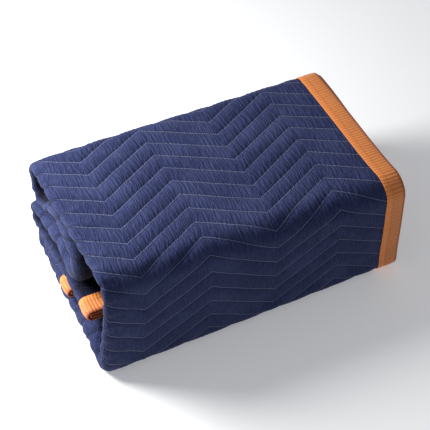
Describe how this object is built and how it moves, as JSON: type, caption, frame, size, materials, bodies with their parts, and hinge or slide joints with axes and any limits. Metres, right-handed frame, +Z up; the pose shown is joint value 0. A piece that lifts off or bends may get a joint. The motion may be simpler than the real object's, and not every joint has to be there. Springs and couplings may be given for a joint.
{
  "type": "folded moving blanket",
  "caption": "Quilted moving blanket with tape-bound edges, folded four-ply and laid back and forth into a flat pack for a shelf or a stack.",
  "frame": {"origin": "centre of the pack's underside, on the surface that it rests on", "axes": "+Z up, +X along the pack towards the bound sides, -Y out of the smooth front face"},
  "size_m": [0.5229, 0.3132, 0.2091],
  "materials": {
    "quilted_cloth": "navy woven cotton blend, quilted with pale thread in stepped zigzag rows, matt",
    "edge_tape": "orange woven polyester tape with fine cross ribs, soft sheen"
  },
  "bodies": {
    "root": {"quilted_cloth": "quilted_cloth", "side_binding_outer": "edge_tape", "side_binding_second": "edge_tape", "end_binding_first": "edge_tape", "end_binding_last": "edge_tape"}
  },
  "joints": []
}
